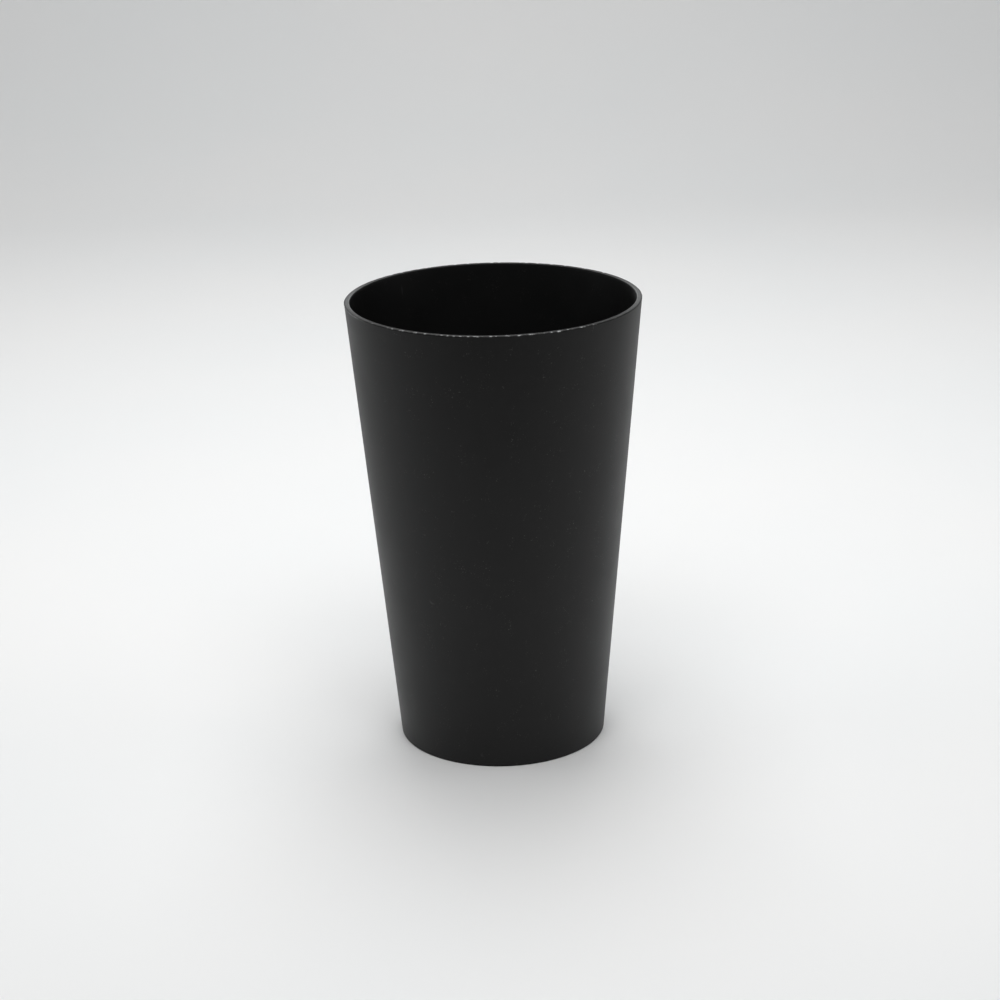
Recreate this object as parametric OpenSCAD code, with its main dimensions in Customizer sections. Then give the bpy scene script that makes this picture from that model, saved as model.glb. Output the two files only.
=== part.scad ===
// Reusable drinking cup: one injection moulding in matte black polypropylene.
// A straight tapered wall rises from a ring foot to a plain thin lip.
// The origin is on the cup's axis, in the plane that the foot stands on, with +Z up.

/* [Cup] */
// Outer diameter at the lip, to the sharp corner that is then rounded
lip_d = 85; // [74:0.5:96]
// Overall height, from the foot to the lip
cup_h = 132.5; // [100:0.5:165]
// Outer diameter at the foot, to the sharp corner that is then rounded
foot_d = 61; // [50:0.5:70]

/* [Wall and floor] */
// Thickness of the wall, square to its face
wall_t = 1.5; // [1:0.05:2.5]
// Thickness of the floor
floor_t = 2; // [1.4:0.1:4]
// Radius inside, between the wall and the floor
floor_corner_r = 4; // [1:0.25:8]

/* [Lip] */
// Radius of the lip's outer edge
lip_outer_r = 0.5; // [0.1:0.05:0.55]
// Radius of the lip's inner edge
lip_inner_r = 0.3; // [0.1:0.05:0.35]

/* [Foot] */
// Width of the foot ring, between its sharp corners
foot_ring_w = 3.4; // [2.6:0.1:6]
// Height of the recess inside the foot ring
recess_h = 1.6; // [1.2:0.1:3]
// Radius of the foot's outer edge
foot_outer_r = 0.4; // [0.2:0.1:1.2]
// Radius of the foot's inner edge
foot_inner_r = 0.4; // [0.1:0.1:0.6]
// Radius between the foot ring and the floor's underside
recess_corner_r = 0.6; // [0.1:0.1:0.6]
// Draft of the recess's side, in degrees
recess_draft = 5; // [1:0.5:10]

/* [Gate mark] */
// Diameter of the dimple around the gate
dimple_d = 8; // [6:0.5:14]
// Depth of the dimple, up into the floor
dimple_h = 0.4; // [0.2:0.05:0.6]
// Diameter of the gate's stub
stub_d = 2; // [1:0.1:4]
// Height of the stub, down from the top of the dimple
stub_h = 0.25; // [0.1:0.05:0.4]

/* [Hidden] */

// Flats in each rounded edge of the section
edge_steps = 10;
// Facets round the cup
turn_facets = 240;

lip_r = lip_d / 2;
foot_r = foot_d / 2;

// The wall leans out by this angle, and is this thick when it is measured level
taper = atan((lip_r - foot_r) / cup_h);
level_wall_t = wall_t / cos(taper);

floor_top_z = recess_h + floor_t;
dimple_z = recess_h + dimple_h;
stub_z = dimple_z - stub_h;
recess_r = foot_r - foot_ring_w;
recess_top_r = recess_r - recess_h * tan(recess_draft);

// Radius of the wall's inner face at height z
function inner_r(z) = foot_r + z * tan(taper) - level_wall_t;

// Half the section, anticlockwise from the axis: each corner is [radius, height, rounding]
section = [
    [0, stub_z, 0],
    [stub_d / 2, stub_z, 0],
    [stub_d / 2, dimple_z, 0],
    [dimple_d / 2, dimple_z, 0],
    [dimple_d / 2, recess_h, 0],
    [recess_top_r, recess_h, recess_corner_r],
    [recess_r, 0, foot_inner_r],
    [foot_r, 0, foot_outer_r],
    [lip_r, cup_h, lip_outer_r],
    [lip_r - level_wall_t, cup_h, lip_inner_r],
    [inner_r(floor_top_z), floor_top_z, floor_corner_r],
    [0, floor_top_z, 0]
];

function flat(p) = [p[0], p[1]];
function unit(v) = v / norm(v);
function bearing(v) = atan2(v[1], v[0]);
// The same turn, taken the short way round
function short_turn(a) = a > 180 ? a - 360 : a < -180 ? a + 360 : a;

// The arc of radius r that touches both sides of the corner b, between a and c
function corner_arc(a, b, c, r) =
    let (
        back = unit(a - b),
        ahead = unit(c - b),
        half_angle = acos(back * ahead) / 2,
        reach = r / tan(half_angle),
        centre = b + unit(back + ahead) * r / sin(half_angle),
        start = bearing(b + back * reach - centre),
        turn = short_turn(bearing(b + ahead * reach - centre) - start)
    )
    [for (i = [0 : edge_steps])
        centre + r * [cos(start + turn * i / edge_steps), sin(start + turn * i / edge_steps)]];

// The outline through all corners, each with its own rounding
function rounded(corners) =
    let (last = len(corners) - 1)
    [for (i = [0 : last])
        let (
            before = flat(corners[i == 0 ? last : i - 1]),
            here = flat(corners[i]),
            after = flat(corners[i == last ? 0 : i + 1]),
            r = corners[i][2]
        )
        each r > 0 ? corner_arc(before, here, after, r) : [here]];

module cup() {
    color("#262626")
        rotate_extrude($fn = turn_facets)
            polygon(rounded(section));
}

cup();
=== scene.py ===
import math
import bpy
import numpy as np
from mathutils import Matrix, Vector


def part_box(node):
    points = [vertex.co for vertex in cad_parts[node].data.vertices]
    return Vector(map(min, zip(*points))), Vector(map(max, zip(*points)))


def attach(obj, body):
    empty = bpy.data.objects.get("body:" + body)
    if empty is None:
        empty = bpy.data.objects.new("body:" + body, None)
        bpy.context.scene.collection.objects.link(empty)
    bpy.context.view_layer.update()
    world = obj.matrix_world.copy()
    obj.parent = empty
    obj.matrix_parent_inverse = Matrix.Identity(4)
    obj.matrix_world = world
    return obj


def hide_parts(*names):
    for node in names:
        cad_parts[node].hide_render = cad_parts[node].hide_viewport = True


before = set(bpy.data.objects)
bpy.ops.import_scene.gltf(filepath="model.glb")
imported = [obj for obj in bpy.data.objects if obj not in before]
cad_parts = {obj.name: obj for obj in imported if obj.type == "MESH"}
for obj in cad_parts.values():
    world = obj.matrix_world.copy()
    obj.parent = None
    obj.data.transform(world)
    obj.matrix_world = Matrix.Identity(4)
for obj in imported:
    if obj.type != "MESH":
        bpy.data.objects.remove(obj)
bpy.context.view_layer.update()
cupLow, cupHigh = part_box("cup")
mm = 0.001
print("frame loaded: the cup is", round(cupHigh[2] / mm, 1), "mm high")


# What a user would change on the cup: millimetres, with radii to the sharp corners before they are rounded
cup = {
    "lipRadius": 42.5,
    "footRadius": 30.5,
    "wall": 1.5,            # square to its face
    "floor": 2.0,
    "recess": 1.6,          # height of the hollow under the floor
    "footWidth": 3.4,
    "recessDraft": 5.0,     # degrees
    "dimpleRadius": 4.0,    # round the gate, under the floor
    "dimpleDepth": 0.4,
    "stubRadius": 1.0,
    "stubHeight": 0.25,
    "lipRounds": (0.3, 0.25),    # outer edge, inner edge
    "footRounds": (0.4, 0.4, 0.6),  # outer edge, inner edge, root of the recess
    "floorRound": 4.0,
    "gateRound": 0.12,
    "sideRoom": 0.14,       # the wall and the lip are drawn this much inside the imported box,
    "topRoom": 0.02,        # so that the flash and burrs on the lip stay in it too
    "facets": 960,          # round the axis
}

# The lip's flash and wear, and the highlights painted on it, in millimetres and degrees. Turn 0 is +X, and -90
# faces the camera.
lipWear = {
    "partingLine": {
        "height": 0.025, "width": 0.09, "below": 0.12, "whitened": 0.01, "cycles": (2, 70), "seed": 11,
    },
    "flash": (      # where the parting line stands proud, its whitening a painted highlight on the proud edge
        {"from": -190, "to": -146, "height": 0.1, "whitened": 0.4},
        {"from": -8, "to": 12, "height": 0.04, "whitened": 0.05},
    ),
    "flashSteady": 0.6,     # share of the flash that doesn't come and go
    "swell": {"height": 0.025, "cycles": (4, 130), "seed": 5},      # the land isn't quite flat
    "paintedSideHighlight": {"whitened": 0.22, "sharpness": 9, "spread": 0.75},      # a painted highlight on the land, most at turns 0 and 180
    # the inner edge has scuffs all round; its sides share is a painted highlight at turns 0 and 180
    "innerEdge": {
        "whitened": 0.01, "uneven": (0.1, 1.4), "sides": 0.22, "sharpness": 4, "width": 0.1,
        "cycles": (2, 90), "seed": 17,
    },
    # a painted highlight on the inner wall just below the lip, at the right end
    "paintedInsideHighlight": {"turn": 1, "halfTurn": 9, "depth": 1.3, "whitened": 0.14},
    "nickHalfWidth": (0.14, 0.3),
    "nickDrift": 0.12,          # in or out from where its set lies
    "nickPlace": (-0.4, 1.4),   # in its own equal share of the stretch, and a little past either end
    "nicks": (                  # inward is counted from the land's outer end; the whitening is partly wear and partly painted glints
        {
            "from": -133, "to": -50, "count": 44, "length": (0.3, 0.6), "weakest": 0.15,
            "inward": 0.04, "depth": 0.05, "whitened": 1.8, "seed": 3,
        },
        {
            "from": -150, "to": -30, "count": 50, "length": (0.2, 0.5), "weakest": 0.1,
            "inward": 0.1, "depth": 0.02, "whitened": 0.25, "seed": 33,
        },
        {
            "from": 38, "to": 142, "count": 20, "length": (0.4, 0.8), "weakest": 0.4,
            "inward": -0.1, "depth": 0.36, "whitened": 1.0, "seed": 8,
        },
        {
            "from": -180, "to": 180, "count": 60, "length": (0.2, 0.45), "weakest": 0.1,
            "inward": 0.3, "depth": 0.02, "whitened": 0.25, "seed": 21,
        },
    ),
}


# One corner after another, [radius, height, rounding, steps], gives way to an arc that touches both its sides:
# the arc's centre is on the corner's bisector, rounding / sin(half angle) from the corner, and the arc
# begins rounding / tan(half angle) along the first side. Each run between two arcs is straight. With n points
# on it, the k-th has the share (k / (n + 1)) ^ power of the run behind it, counted from the end named "near".
# Station k is the k-th run, and k + 0.5 is the arc at its end.
def turnedOutline(corners, runs):
    corner = np.array([c[:2] for c in corners], float)
    rounding = np.array([c[2] for c in corners[1:-1]], float)[:, None]
    unit = lambda v: v / np.linalg.norm(v, axis=1, keepdims=True)
    back = unit(corner[:-2] - corner[1:-1])
    ahead = unit(corner[2:] - corner[1:-1])
    half = np.arccos(np.sum(back * ahead, axis=1, keepdims=True)) / 2
    centre = corner[1:-1] + unit(back + ahead) * rounding / np.sin(half)
    arcStart = corner[1:-1] + back * rounding / np.tan(half) - centre
    arcEnd = corner[1:-1] + ahead * rounding / np.tan(half) - centre
    start = np.arctan2(arcStart[:, 1], arcStart[:, 0])
    turn = np.arctan2(arcEnd[:, 1], arcEnd[:, 0]) - start
    turn = (turn + np.pi) % (2 * np.pi) - np.pi
    leave = np.vstack([corner[:1], centre + arcEnd])
    reach = np.vstack([centre + arcStart, corner[-1:]])
    points, station = [corner[:1]], [np.zeros(1)]
    for number, (count, power, near) in enumerate(runs):
        share = (np.arange(1, count + 1) / (count + 1)) ** power
        share = np.sort(1 - share) if near == "end" else share
        points.append(leave[number] + share[:, None] * (reach[number] - leave[number]))
        station.append(np.full(count, float(number)))
        if number < len(centre):
            steps = corners[number + 1][3]
            bearing = start[number] + turn[number] * np.linspace(0, 1, steps + 1)
            onCircle = np.stack([np.cos(bearing), np.sin(bearing)], 1)
            points.append(centre[number] + rounding[number] * onCircle)
            station.append(np.full(steps + 1, number + 0.5))
    points.append(corner[-1:])
    station.append(np.full(1, len(runs) - 1.0))
    return np.vstack(points), np.concatenate(station)


# Distance along an outline from its first point to each of its points
def lengthAlong(outline):
    step = np.linalg.norm(np.diff(outline, axis=0), axis=1)
    return np.concatenate([[0], np.cumsum(step)])


# Outward normal of an outline that is drawn anticlockwise: its tangent turned back by a quarter
def outlineNormals(outline):
    tangent = np.gradient(outline, axis=0)
    tangent /= np.linalg.norm(tangent, axis=1, keepdims=True)
    return np.stack([tangent[:, 1], -tangent[:, 0]], 1)


# A bell of height 1 and the given half width, at distance x from its middle: e ^ -(x / width)^2
def bell(x, width):
    return np.exp(-(x / width) ** 2)


# Smooth noise round a ring: a sum of cosines of whole numbers of cycles, with seeded phases, of spread 1
def ringNoise(angle, fewest, most, seed):
    cycles = np.arange(fewest, most + 1)
    phase = np.random.default_rng(seed).uniform(0, 2 * np.pi, len(cycles))
    return np.cos(angle[:, None] * cycles + phase).sum(axis=1) / np.sqrt(len(cycles) / 2)


# A surface turned round Z: the point at angle a and place s is (radius(s) cos a, radius(s) sin a, height(s)),
# moved along the outline's normal by relief(s, a). Each end of the outline is on the axis and becomes one
# vertex. Material gives one number for each band between two rings.
def turnedSurface(name, outline, facets, relief, material):
    angle = np.arange(facets) * 2 * np.pi / facets
    rings = outline[1:-1]
    moved = rings[:, None, :] + outlineNormals(outline)[1:-1, None, :] * relief[1:-1, :, None]
    radius, height = moved[..., 0], moved[..., 1]
    ringPoints = np.stack([radius * np.cos(angle), radius * np.sin(angle), height], 2)
    poles = np.array([[0, 0, outline[0, 1]], [0, 0, outline[-1, 1]]])
    points = np.vstack([poles[:1], ringPoints.reshape(-1, 3), poles[1:]]) * mm
    here = 1 + np.arange(len(rings))[:, None] * facets + np.arange(facets)
    beside = np.roll(here, -1, axis=1)
    quads = np.stack([here[:-1], beside[:-1], beside[1:], here[1:]], 2).reshape(-1, 4)
    firstFan = np.stack([np.zeros(facets, int), beside[0], here[0]], 1)
    lastFan = np.stack([here[-1], beside[-1], np.full(facets, len(points) - 1)], 1)
    mesh = bpy.data.meshes.new(name)
    mesh.from_pydata(points.tolist(), [], quads.tolist() + firstFan.tolist() + lastFan.tolist())
    bands = np.repeat(material[1:-1], facets)
    fans = np.repeat([material[0], material[-1]], facets)
    mesh.polygons.foreach_set("material_index", np.concatenate([bands, fans]).astype(np.int32))
    mesh.polygons.foreach_set("use_smooth", np.ones(len(mesh.polygons), bool))
    mesh.update()
    piece = bpy.data.objects.new(name, mesh)
    bpy.context.collection.objects.link(piece)
    return piece


# The values of a mask at every place and angle go to the vertices, in the order in which they were made
def paintVertices(piece, name, mask):
    values = np.concatenate([mask[:1, 0], mask[1:-1].ravel(), mask[-1:, 0]])
    layer = piece.data.attributes.new(name, "FLOAT", "POINT")
    layer.data.foreach_set("value", values.astype(np.float32))


# A node with its settings
def addNode(tree, kind, **settings):
    node = tree.nodes.new(kind)
    for key, value in settings.items():
        setattr(node, key, value)
    return node


# Sets a node's inputs, by name or as i0, i1 and so on: a socket is linked, anything else becomes the own value
def feed(tree, node, **inputs):
    for key, value in inputs.items():
        numbered = key[0] == "i" and key[1:].isdigit()
        socket = node.inputs[int(key[1:]) if numbered else key.replace("_", " ")]
        if isinstance(value, bpy.types.NodeSocket):
            tree.links.new(value, socket)
        else:
            socket.default_value = value
    return node


def mathNode(tree, operation, first, second=0.0, third=0.0, clamp=False):
    node = feed(tree, addNode(tree, "ShaderNodeMath", operation=operation), i0=first, i1=second, i2=third)
    node.use_clamp = clamp
    return node.outputs[0]


def vectorMath(tree, operation, first, second=(0, 0, 0)):
    node = feed(tree, addNode(tree, "ShaderNodeVectorMath", operation=operation), i0=first, i1=second)
    return node.outputs["Value" if operation in ("LENGTH", "DOT_PRODUCT") else "Vector"]


# Carries a value from one range to another, smoothly and held at the ends
def blendRange(tree, value, fromLow, fromHigh, toLow=0.0, toHigh=1.0):
    node = addNode(tree, "ShaderNodeMapRange", interpolation_type="SMOOTHSTEP")
    feed(tree, node, Value=value, From_Min=fromLow, From_Max=fromHigh, To_Min=toLow, To_Max=toHigh)
    return node.outputs[0]


def mixColours(tree, share, first, second):
    node = addNode(tree, "ShaderNodeMix", data_type="RGBA")
    return feed(tree, node, i0=share, i6=first, i7=second).outputs[2]


def newGroup(name, inputs, outputs):
    group = bpy.data.node_groups.new(name, "ShaderNodeTree")
    for label, kind, value in inputs:
        socket = group.interface.new_socket(label, in_out="INPUT", socket_type=kind)
        socket.default_value = value
    for label, kind in outputs:
        group.interface.new_socket(label, in_out="OUTPUT", socket_type=kind)
    return group, group.nodes.new("NodeGroupInput").outputs, group.nodes.new("NodeGroupOutput")


def useGroup(tree, group, **inputs):
    node = addNode(tree, "ShaderNodeGroup", node_tree=group)
    return feed(tree, node, **inputs).outputs


# The pattern of the moulded skin: shares of its bump, and scales per metre but for fineScale
skinPattern = {
    "pitShare": 0.6,
    "pitSmoothness": 0.6,
    "fineShare": 0.4,
    "fineScale": 1.7,       # times that of the pits
    "mottleScale": 38.0,
    "mottleRange": (0.3, 0.7),
    "toneShift": 0.12,      # share of the tone, either way
    "roughShift": 0.02,
    "speckScale": 2600.0,
    "speckRange": (0.66, 0.74),
    "sparseScale": 240.0,   # where specks gather
    "sparseRange": (0.5, 0.66),
    "dustColour": (0.17, 0.165, 0.155, 1),
    # grey and added roughness where wear and painted highlights whiten the plastic
    "wearAndHighlightColour": (0.44, 0.45, 0.45, 1),
    "wearAndHighlightRough": 0.12,
}


# The skin that the eroded steel of the mould leaves: rounded pits of one size under a finer grain,
# and a slow mottle of how well the plastic took up the texture
def makeMouldGrain():
    group, given, out = newGroup(
        "mouldGrain",
        [("Place", "NodeSocketVector", (0, 0, 0)), ("Grain Size", "NodeSocketFloat", 0.0002)],
        [("Height", "NodeSocketFloat"), ("Mottle", "NodeSocketFloat")],
    )
    perSize = mathNode(group, "DIVIDE", 1.0, given["Grain Size"])
    pits = addNode(group, "ShaderNodeTexVoronoi", feature="SMOOTH_F1", voronoi_dimensions="3D")
    feed(group, pits, Vector=given["Place"], Scale=perSize, Smoothness=skinPattern["pitSmoothness"])
    fine = addNode(group, "ShaderNodeTexNoise", noise_dimensions="3D")
    fineScale = mathNode(group, "MULTIPLY", perSize, skinPattern["fineScale"])
    feed(group, fine, Vector=given["Place"], Scale=fineScale, Detail=2.0)
    grain = mathNode(group, "MULTIPLY", fine.outputs[0], skinPattern["fineShare"])
    height = mathNode(group, "MULTIPLY_ADD", pits.outputs["Distance"], skinPattern["pitShare"], grain)
    slow = addNode(group, "ShaderNodeTexNoise")
    feed(group, slow, Vector=given["Place"], Scale=skinPattern["mottleScale"], Detail=4.0, Roughness=0.6)
    feed(group, out, Height=height, Mottle=blendRange(group, slow.outputs[0], *skinPattern["mottleRange"]))
    return group


# Colour and gloss of one patch of black plastic: the mottle shifts both a little, dust lies on it as gathered
# pale specks, and its whitening, wear in some places and a painted highlight in others, turns it grey and
# rougher
def makeHandledPlastic():
    group, given, out = newGroup(
        "handledPlastic",
        [
            ("Place", "NodeSocketVector", (0, 0, 0)),
            ("Tone", "NodeSocketFloat", 0.012),
            ("Gloss Roughness", "NodeSocketFloat", 0.4),
            ("Mottle", "NodeSocketFloat", 0.5),
            ("Bruise", "NodeSocketFloat", 0.0),
            ("Dust", "NodeSocketFloat", 0.3),
        ],
        [("Colour", "NodeSocketColor"), ("Roughness", "NodeSocketFloat")],
    )
    toneShift, roughShift = skinPattern["toneShift"], skinPattern["roughShift"]
    uneven = blendRange(group, given["Mottle"], 0.0, 1.0, 1 - toneShift, 1 + toneShift)
    tone = mathNode(group, "MULTIPLY", given["Tone"], uneven)
    tint = feed(group, addNode(group, "ShaderNodeCombineColor"), Red=tone, Green=tone, Blue=tone).outputs[0]
    specks = addNode(group, "ShaderNodeTexNoise")
    feed(group, specks, Vector=given["Place"], Scale=skinPattern["speckScale"], Detail=1.0)
    sparse = addNode(group, "ShaderNodeTexNoise")
    feed(group, sparse, Vector=given["Place"], Scale=skinPattern["sparseScale"], Detail=2.0)
    speck = blendRange(group, specks.outputs[0], *skinPattern["speckRange"])
    gathered = blendRange(group, sparse.outputs[0], *skinPattern["sparseRange"])
    dust = mathNode(group, "MULTIPLY", mathNode(group, "MULTIPLY", speck, gathered), given["Dust"])
    dusty = mixColours(group, dust, tint, skinPattern["dustColour"])
    wearAndPaintedHighlights = mixColours(group, given["Bruise"], dusty, skinPattern["wearAndHighlightColour"])
    rough = blendRange(group, given["Mottle"], 0.0, 1.0, -roughShift, roughShift)
    rough = mathNode(group, "ADD", given["Gloss Roughness"], rough)
    rough = mathNode(group, "MULTIPLY_ADD", given["Bruise"], skinPattern["wearAndHighlightRough"], rough, clamp=True)
    feed(group, out, Colour=wearAndPaintedHighlights, Roughness=rough)
    return group


markReach = 0.006   # in metres: a mark ends within this distance of its middle


# A rub mark that follows a shallow bow. With x along it and y across it, u = x / Half Length and
# v = (y - Bow x^2) / Half Width, its strength falls smoothly from 1 in its middle to 0 where u^2 + v^2 is 1.
def makeRubMark():
    group, given, out = newGroup(
        "rubMark",
        [
            ("Place", "NodeSocketVector", (0, 0, 0)),
            ("Middle", "NodeSocketVector", (0, 0, 0)),
            ("Along", "NodeSocketVector", (1, 0, 0)),
            ("Across", "NodeSocketVector", (0, 0, 1)),
            ("Half Length", "NodeSocketFloat", 0.001),
            ("Half Width", "NodeSocketFloat", 0.0002),
            ("Bow", "NodeSocketFloat", 0.0),
        ],
        [("Mark", "NodeSocketFloat")],
    )
    offset = vectorMath(group, "SUBTRACT", given["Place"], given["Middle"])
    along = vectorMath(group, "DOT_PRODUCT", offset, given["Along"])
    across = vectorMath(group, "DOT_PRODUCT", offset, given["Across"])
    distance = vectorMath(group, "LENGTH", offset)
    square = mathNode(group, "MULTIPLY", along, along)
    bent = mathNode(group, "SUBTRACT", across, mathNode(group, "MULTIPLY", square, given["Bow"]))
    u = mathNode(group, "DIVIDE", along, given["Half Length"])
    v = mathNode(group, "DIVIDE", bent, given["Half Width"])
    squares = mathNode(group, "ADD", mathNode(group, "MULTIPLY", u, u), mathNode(group, "MULTIPLY", v, v))
    radius = mathNode(group, "SQRT", squares)
    near = mathNode(group, "LESS_THAN", distance, markReach)
    feed(group, out, Mark=mathNode(group, "MULTIPLY", blendRange(group, radius, 1.0, 0.0), near))
    return group


mouldGrain = makeMouldGrain()
handledPlastic = makeHandledPlastic()
rubMark = makeRubMark()
print("shared node groups made")


# The three finishes of the one moulding: sizes in metres, tone as linear grey
finishes = {
    "outerSkin": {
        "tone": 0.0067, "roughness": 0.47, "grain": 0.00024, "depth": 0.000012, "specular": 0.264, "dust": 0.25,
    },
    "rubbedLip": {
        "tone": 0.006, "roughness": 0.46, "grain": 0.0004, "depth": 0.000006, "specular": 0.14, "dust": 0.5,
    },
    "innerSkin": {
        "tone": 0.005, "roughness": 0.42, "grain": 0.0003, "depth": 0.000008, "specular": 0.2, "dust": 0.2,
    },
}
plasticIor = 1.49

# Rub marks on each face of the wall: [turn, height, half length, half width, bow, lean, strength], with turn
# and lean in degrees and the sizes in millimetres. Lean tips a mark up to the right.
rubMarks = {
    "outerSkin": (
        [-123.9, 51.0, 1.5, 0.5, 0.45, -28, 0.05],
        [-102.0, 3.6, 0.9, 0.6, 0.7, -70, 0.03],
        [-22.7, 72.2, 1.2, 0.35, 0.0, 80, 0.06],
        [-24.2, 57.9, 0.5, 0.4, 0.0, 0, 0.08],
        [-23.0, 8.5, 0.5, 0.4, 0.0, 0, 0.08],
        [-104.4, 100.6, 0.35, 0.3, 0.0, 0, 0.05],
        [-117.1, 91.9, 0.35, 0.3, 0.0, 0, 0.05],
    ),
    "innerSkin": (
        [131.8, 127.5, 2.2, 0.35, 0.0, 90, 0.04],
        [7.1, 129.0, 0.4, 0.35, 0.0, 0, 0.12],
    ),
    "rubbedLip": (),        # its marks are the nicks
}


# How far the wall leans out
def slope():
    return math.atan((cup["lipRadius"] - cup["footRadius"]) / (cupHigh[2] / mm))


# What a face has whitened at a place: its vertex mask, with wear and painted highlights, and its rub marks,
# each as strong as its entry says
def wearAndHighlightStrength(tree, place, face):
    total = addNode(tree, "ShaderNodeAttribute", attribute_name="wearAndPaintedHighlights").outputs["Fac"]
    inward = cup["wall"] / math.cos(slope()) if face == "innerSkin" else 0.0
    for turn, height, halfLength, halfWidth, bow, lean, strength in rubMarks[face]:
        turn, lean = math.radians(turn), math.radians(lean)
        radius = cup["footRadius"] - cup["sideRoom"] - inward + height * math.tan(slope())
        outwards = np.array([math.cos(turn), math.sin(turn), 0.0])
        sideways = np.array([-math.sin(turn), math.cos(turn), 0.0])
        uphill = outwards * math.sin(slope()) + np.array([0, 0, math.cos(slope())])
        mark = useGroup(
            tree, rubMark, Place=place,
            Middle=tuple((outwards * radius + np.array([0, 0, height])) * mm),
            Along=tuple(sideways * math.cos(lean) + uphill * math.sin(lean)),
            Across=tuple(uphill * math.cos(lean) - sideways * math.sin(lean)),
            Half_Length=halfLength * mm, Half_Width=halfWidth * mm, Bow=bow / mm,
        )["Mark"]
        total = mathNode(tree, "MULTIPLY_ADD", mark, strength, total, clamp=True)
    return total


# One finish of the black plastic
def blackPlastic(name):
    finish = finishes[name]
    material = bpy.data.materials.new(name)
    material.use_nodes = True
    tree = material.node_tree
    shader = tree.nodes["Principled BSDF"]
    place = addNode(tree, "ShaderNodeTexCoord").outputs["Object"]
    grain = useGroup(tree, mouldGrain, Place=place, Grain_Size=finish["grain"])
    skin = useGroup(
        tree, handledPlastic, Place=place, Tone=finish["tone"], Gloss_Roughness=finish["roughness"],
        Mottle=grain["Mottle"], Bruise=wearAndHighlightStrength(tree, place, name), Dust=finish["dust"],
    )
    bump = addNode(tree, "ShaderNodeBump")
    feed(tree, bump, Strength=1.0, Distance=finish["depth"], Height=grain["Height"])
    feed(tree, shader, Base_Color=skin["Colour"], Roughness=skin["Roughness"], Normal=bump.outputs[0])
    feed(tree, shader, IOR=plasticIor, Specular_IOR_Level=finish["specular"])
    return material


# Stations of the lip's two rounded edges in the outline below
lipOuterEdge, lipInnerEdge = 7.5, 8.5


# The cup's section, from the axis under the floor, out and up the wall, over the lip and down to the axis
def cupOutline():
    lean = slope()
    top = cupHigh[2] / mm - cup["topRoom"]
    lipRadius = cup["lipRadius"] - cup["sideRoom"]
    footRadius = cup["footRadius"] - cup["sideRoom"]
    level = cup["wall"] / math.cos(lean)
    floorTop = cup["recess"] + cup["floor"]
    innerAtFloor = footRadius + floorTop * math.tan(lean) - level
    dimpleTop = cup["recess"] + cup["dimpleDepth"]
    stubEnd = dimpleTop - cup["stubHeight"]
    recessRadius = cup["footRadius"] - cup["footWidth"]
    recessTop = recessRadius - cup["recess"] * math.tan(math.radians(cup["recessDraft"]))
    footOuter, footInner, recessRoot = cup["footRounds"]
    lipOuter, lipInner = cup["lipRounds"]
    corners = [
        [0, stubEnd, 0, 0],
        [cup["stubRadius"], stubEnd, cup["gateRound"] / 2, 2],
        [cup["stubRadius"], dimpleTop, cup["gateRound"] / 2, 2],
        [cup["dimpleRadius"], dimpleTop, cup["gateRound"], 2],
        [cup["dimpleRadius"], cup["recess"], cup["gateRound"], 2],
        [recessTop, cup["recess"], recessRoot, 4],
        [recessRadius, 0, footInner, 4],
        [footRadius, 0, footOuter, 6],
        [lipRadius, top, lipOuter, 9],
        [lipRadius - level, top, lipInner, 6],
        [innerAtFloor, floorTop, cup["floorRound"], 8],
        [0, floorTop, 0, 0],
    ]
    # points in each run, how they bunch, and at which end
    runs = [
        (1, 1, "start"), (1, 1, "start"), (1, 1, "start"), (1, 1, "start"), (2, 1, "start"), (1, 1, "start"),
        (2, 1, "start"), (14, 2.4, "end"), (6, 1, "start"), (10, 2.2, "start"), (3, 1, "start"),
    ]
    return turnedOutline(corners, runs)


# How strongly nicks mark each place along the outline and each angle: a sum of bells both ways, one nick in
# each equal share of the stretch, with seeded places, lengths, widths and strengths
def nickStrength(along, angle, nicks, landStart):
    chance = np.random.default_rng(nicks["seed"])
    count = nicks["count"]
    share = (np.arange(count) + chance.uniform(*lipWear["nickPlace"], count)) / count
    middle = np.radians(nicks["from"] + share * (nicks["to"] - nicks["from"]))
    halfLength = chance.uniform(*nicks["length"], count) / 2
    halfWidth = chance.uniform(*lipWear["nickHalfWidth"], count)
    inward = nicks["inward"] + chance.uniform(-lipWear["nickDrift"], lipWear["nickDrift"], count)
    strength = chance.uniform(nicks["weakest"], 1.0, count) ** 2
    across = bell(along[:, :, None] - landStart - inward, halfWidth)
    around = bell(turnBetween(angle[None, :, None], middle) * cup["lipRadius"], halfLength)
    return (across * around * strength).sum(axis=2)


# Angle from one turn to another, the short way round
def turnBetween(angle, turn):
    return (angle - turn + np.pi) % (2 * np.pi) - np.pi


# 1 between two turns, in degrees, and falling to 0 over the last fifth at each end
def stretch(angle, first, last):
    middle, half = math.radians((first + last) / 2), math.radians(abs(last - first) / 2)
    return np.clip((half - np.abs(turnBetween(angle, middle))) / (0.4 * half), 0, 1)
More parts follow.
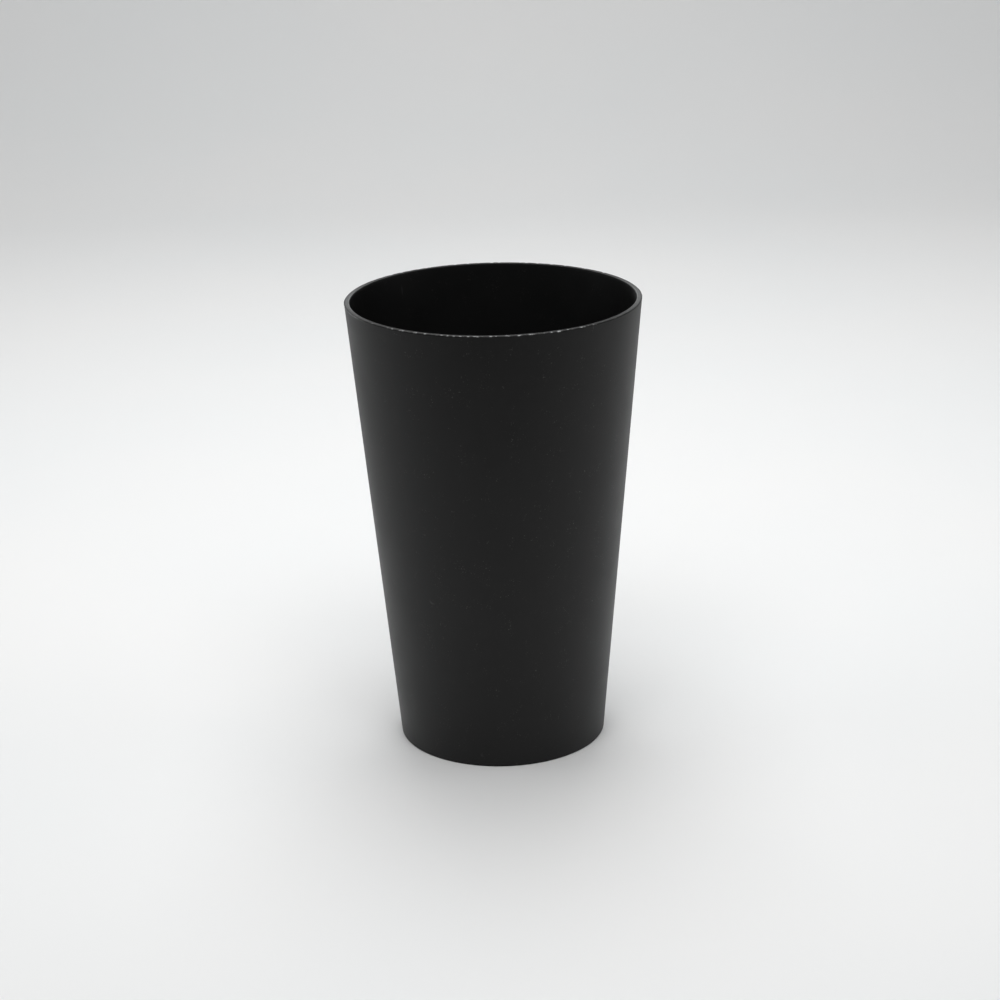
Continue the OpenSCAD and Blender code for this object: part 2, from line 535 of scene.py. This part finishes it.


# The lip's relief and its whitening, both functions of the place along the outline and of the angle: a parting
# line below the outer edge that comes and goes, with flash whitened as a painted highlight, a slow swell of the
# land, scuffs on the inner edge with painted highlights at its ends, painted highlights on the land at both
# ends and on the inner wall at the right, and nicks whitened partly as painted glints
def lipReliefWearAndHighlights(outline, station, facets):
    angle = np.arange(facets) * 2 * np.pi / facets
    along = lengthAlong(outline)[:, None]
    outerArc, innerArc = along[station == lipOuterEdge], along[station == lipInnerEdge]
    landStart, landEnd = outerArc[-1, 0], innerArc[0, 0]
    landMiddle, landWidth = (landStart + landEnd) / 2, landEnd - landStart
    parting = lipWear["partingLine"]
    comes = np.clip(0.5 + 0.5 * ringNoise(angle, *parting["cycles"], parting["seed"]), 0, 1)
    height, whitened = comes * parting["height"], comes * parting["whitened"]
    steady = lipWear["flashSteady"]
    # the flash stands proud as real relief, and its whitening is a painted highlight
    for flash in lipWear["flash"]:
        here = stretch(angle, flash["from"], flash["to"]) * (steady + (1 - steady) * comes)
        height = height + here * flash["height"]
        whitened = whitened + here * flash["whitened"]
    ridge = bell(along - outerArc[0, 0] - parting["below"], parting["width"])
    swell = lipWear["swell"]
    waves = np.clip(ringNoise(angle, *swell["cycles"], swell["seed"]), -1, 1)
    sunk = bell(along - landMiddle, landWidth) * swell["height"] * (1 + waves) / 2
    relief = ridge * height - sunk
    innerEdge = lipWear["innerEdge"]
    innerEdgeWearAndHighlight = 0.6 + 0.4 * ringNoise(angle, *innerEdge["cycles"], innerEdge["seed"])
    innerEdgeWearAndHighlight = np.clip(innerEdgeWearAndHighlight, *innerEdge["uneven"]) * innerEdge["whitened"]
    # painted highlight at both ends of the inner edge
    innerEdgeWearAndHighlight = innerEdgeWearAndHighlight + np.abs(np.cos(angle)) ** innerEdge["sharpness"] * innerEdge["sides"]
    # painted highlight on the land at the lip's two ends, turns 0 and 180
    sideHighlight = lipWear["paintedSideHighlight"]
    sides = np.abs(np.cos(angle)) ** sideHighlight["sharpness"] * sideHighlight["whitened"]
    land = bell(along - landMiddle, landWidth * sideHighlight["spread"])
    # painted highlight on the inner wall just below the lip, around turn 1
    inside = lipWear["paintedInsideHighlight"]
    glance = bell(turnBetween(angle, math.radians(inside["turn"])), math.radians(inside["halfTurn"]))
    below = bell(np.maximum(along - innerArc[-1, 0], 0), inside["depth"]) * (along > landEnd)
    wearAndPaintedHighlights = ridge * whitened + bell(along - landEnd, innerEdge["width"]) * innerEdgeWearAndHighlight + land * sides
    wearAndPaintedHighlights = wearAndPaintedHighlights + below * glance * inside["whitened"]
    # nicks dent the lip, and their whitening is partly wear and partly painted glints
    for nicks in lipWear["nicks"]:
        spot = nickStrength(along, angle, nicks, landStart)
        relief = relief - spot * nicks["depth"]
        wearAndPaintedHighlights = wearAndPaintedHighlights + spot * nicks["whitened"]
    return relief, np.clip(wearAndPaintedHighlights, 0, 1)


def makeCup():
    outline, station = cupOutline()
    relief, wearAndPaintedHighlights = lipReliefWearAndHighlights(outline, station, cup["facets"])
    between = (station[:-1] + station[1:]) / 2  # the lip's finish lies on both rounded edges and the land
    bands = np.where(between < lipOuterEdge, 0, np.where(between <= lipInnerEdge, 1, 2))
    piece = turnedSurface("cup_moulding", outline, cup["facets"], relief, bands)
    paintVertices(piece, "wearAndPaintedHighlights", wearAndPaintedHighlights)
    for name in finishes:
        piece.data.materials.append(blackPlastic(name))
    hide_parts("cup")
    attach(piece, "root")
    print("cup made:", len(piece.data.polygons), "faces,", len(outline), "rings")


makeCup()


# The paper sweep that the cup stands on, in metres: a level floor that curves up into a wall behind
sweep = {
    "halfWidth": 1.5,
    "front": -2.6,
    "bend": 0.7,        # where the floor starts to rise
    "bendRadius": 0.5,
    "wallTop": 1.9,
    "levelSteps": 24,
    "bendSteps": 24,
    "uprightSteps": 8,
    "acrossSteps": 14,
    "tone": 0.8,
    "cloudScale": 5.0,
    "paintedShadeBegins": -0.2,    # painted shade: in front of the cup the paper is darker where the cup reflects it: from here to here, down to this share of its tone. The camera itself sees all of it.
    "paintedShadeEnds": -0.34,     # here to here, down to this share of its tone. The camera itself sees all of it.
    "paintedShadeKept": 0.12,
}


# A profile carried straight along X: level to the bend, then a quarter round, then upright
def makeSweep():
    bend, radius = sweep["bend"], sweep["bendRadius"]
    forward = np.linspace(sweep["front"], bend, sweep["levelSteps"])
    level = np.stack([forward, np.zeros(len(forward))], 1)
    quarter = np.linspace(0, np.pi / 2, sweep["bendSteps"] + 1)[1:]
    rise = np.stack([bend + radius * np.sin(quarter), radius * (1 - np.cos(quarter))], 1)
    upward = np.linspace(radius, sweep["wallTop"], sweep["uprightSteps"] + 1)[1:]
    upright = np.stack([np.full(len(upward), bend + radius), upward], 1)
    profile = np.vstack([level, rise, upright])
    across = np.linspace(-sweep["halfWidth"], sweep["halfWidth"], sweep["acrossSteps"] + 1)
    grid = np.empty((len(profile), len(across), 3))
    grid[..., 0] = across
    grid[..., 1] = profile[:, :1]
    grid[..., 2] = profile[:, 1:]
    number = np.arange(grid.size // 3).reshape(grid.shape[:2])
    quads = np.stack([number[:-1, :-1], number[:-1, 1:], number[1:, 1:], number[1:, :-1]], 2).reshape(-1, 4)
    mesh = bpy.data.meshes.new("paper_sweep")
    mesh.from_pydata(grid.reshape(-1, 3).tolist(), [], quads.tolist())
    mesh.polygons.foreach_set("use_smooth", np.ones(len(mesh.polygons), bool))
    mesh.update()
    paper = bpy.data.objects.new("paper_sweep", mesh)
    bpy.context.collection.objects.link(paper)
    mesh.materials.append(palePaper())


# Pale matt paper, with a faint cloudiness and a painted shade in front that only reflections see
def palePaper():
    material = bpy.data.materials.new("palePaper")
    material.use_nodes = True
    tree = material.node_tree
    place = addNode(tree, "ShaderNodeTexCoord").outputs["Object"]
    cloud = addNode(tree, "ShaderNodeTexNoise")
    feed(tree, cloud, Vector=place, Scale=sweep["cloudScale"], Detail=3.0)
    cloudy = blendRange(tree, cloud.outputs[0], 0.3, 0.7)
    tone = sweep["tone"]
    cool, warm = (tone * 0.99, tone, tone, 1), (tone * 1.01, tone * 1.01, tone * 1.005, 1)
    colour = mixColours(tree, cloudy, cool, warm)
    # painted shade: every ray but the camera's sees the paper darkened in front of the cup
    seen = addNode(tree, "ShaderNodeLightPath").outputs["Is Camera Ray"]
    forward = feed(tree, addNode(tree, "ShaderNodeSeparateXYZ"), Vector=place).outputs["Y"]
    kept = blendRange(tree, forward, sweep["paintedShadeEnds"], sweep["paintedShadeBegins"], sweep["paintedShadeKept"], 1.0)
    colour = mixColours(tree, mathNode(tree, "MAXIMUM", seen, kept), (0, 0, 0, 1), colour)
    feed(tree, tree.nodes["Principled BSDF"], Base_Color=colour, Roughness=0.8, Specular_IOR_Level=0.2)
    return material


makeSweep()
print("paper sweep made")


# Soft studio light: places and sizes in metres, power in watts. Each lamp looks at its aim.
lamps = {
    "overCup": {"place": (0.0, 0.25, 0.7), "aim": (0.0, 0.25, 0.0), "size": (0.7, 0.4), "power": 4.06},
    "frontHigh": {"place": (0.0, -0.5, 1.1), "aim": (0.0, 0.1, 0.0), "size": (1.0, 0.5), "power": 3.7},
    "frontFar": {"place": (0.0, -0.9, 1.4), "aim": (0.0, 0.1, 0.0), "size": (1.4, 0.8), "power": 5.6},
    "leftPanel": {"place": (-1.6, 0.05, 0.7), "aim": (0.0, 0.1, 0.0), "size": (1.3, 1.3), "power": 3.75},
    "rightPanel": {"place": (1.6, -0.05, 0.7), "aim": (0.0, 0.1, 0.0), "size": (1.3, 1.3), "power": 3.4},
    "leftBack": {"place": (-1.6, 0.5, 0.9), "aim": (0.0, 0.2, 0.0), "size": (1.0, 1.4), "power": 0.4},
}

# What lies beyond the paper: the light that it gives, and how bright the camera sees it
room = {"colour": (0.93, 0.97, 1.0, 1), "light": 0.1, "seen": 0.6}


def makeLights():
    for name, lamp in lamps.items():
        light = bpy.data.lights.new(name, "AREA")
        light.shape = "RECTANGLE"
        light.size, light.size_y = lamp["size"]
        light.energy = lamp["power"]
        holder = bpy.data.objects.new(name, light)
        bpy.context.collection.objects.link(holder)
        holder.visible_camera = False
        towards = np.array(lamp["aim"]) - np.array(lamp["place"])
        steep = math.atan2(math.hypot(towards[0], towards[1]), -towards[2])
        heading = math.atan2(towards[1], towards[0]) - math.pi / 2
        turned = Matrix.Rotation(heading, 4, "Z") @ Matrix.Rotation(steep, 4, "X")
        holder.matrix_world = Matrix.Translation(lamp["place"]) @ turned
    world = bpy.data.worlds.new("room")
    world.use_nodes = True
    tree = world.node_tree
    seen = addNode(tree, "ShaderNodeLightPath").outputs["Is Camera Ray"]
    strength = mathNode(tree, "MULTIPLY_ADD", seen, room["seen"] - room["light"], room["light"])
    feed(tree, tree.nodes["Background"], Color=room["colour"], Strength=strength)
    bpy.context.scene.world = world


makeLights()
print("lights made:", ", ".join(lamps))


# Where the photo was taken from: places in metres, angles in degrees, lens and sensor in millimetres
camera = {
    "back": 0.6753, "up": 0.3055, "pitch": 19.117, "yaw": 0.054, "roll": -1.333, "lens": 87.95, "sensor": 36.0,
}


def makeCamera():
    data = bpy.data.cameras.new("photoCamera")
    data.lens = camera["lens"]
    data.sensor_width = camera["sensor"]
    holder = bpy.data.objects.new("photoCamera", data)
    bpy.context.collection.objects.link(holder)
    holder.matrix_world = (
        Matrix.Translation((0, -camera["back"], camera["up"]))
        @ Matrix.Rotation(math.radians(-camera["yaw"]), 4, "Z")
        @ Matrix.Rotation(math.radians(90 - camera["pitch"]), 4, "X")
        @ Matrix.Rotation(math.radians(camera["roll"]), 4, "Z")
    )
    bpy.context.scene.camera = holder


makeCamera()
bpy.context.scene.view_settings.view_transform = "Standard"
print("camera set")
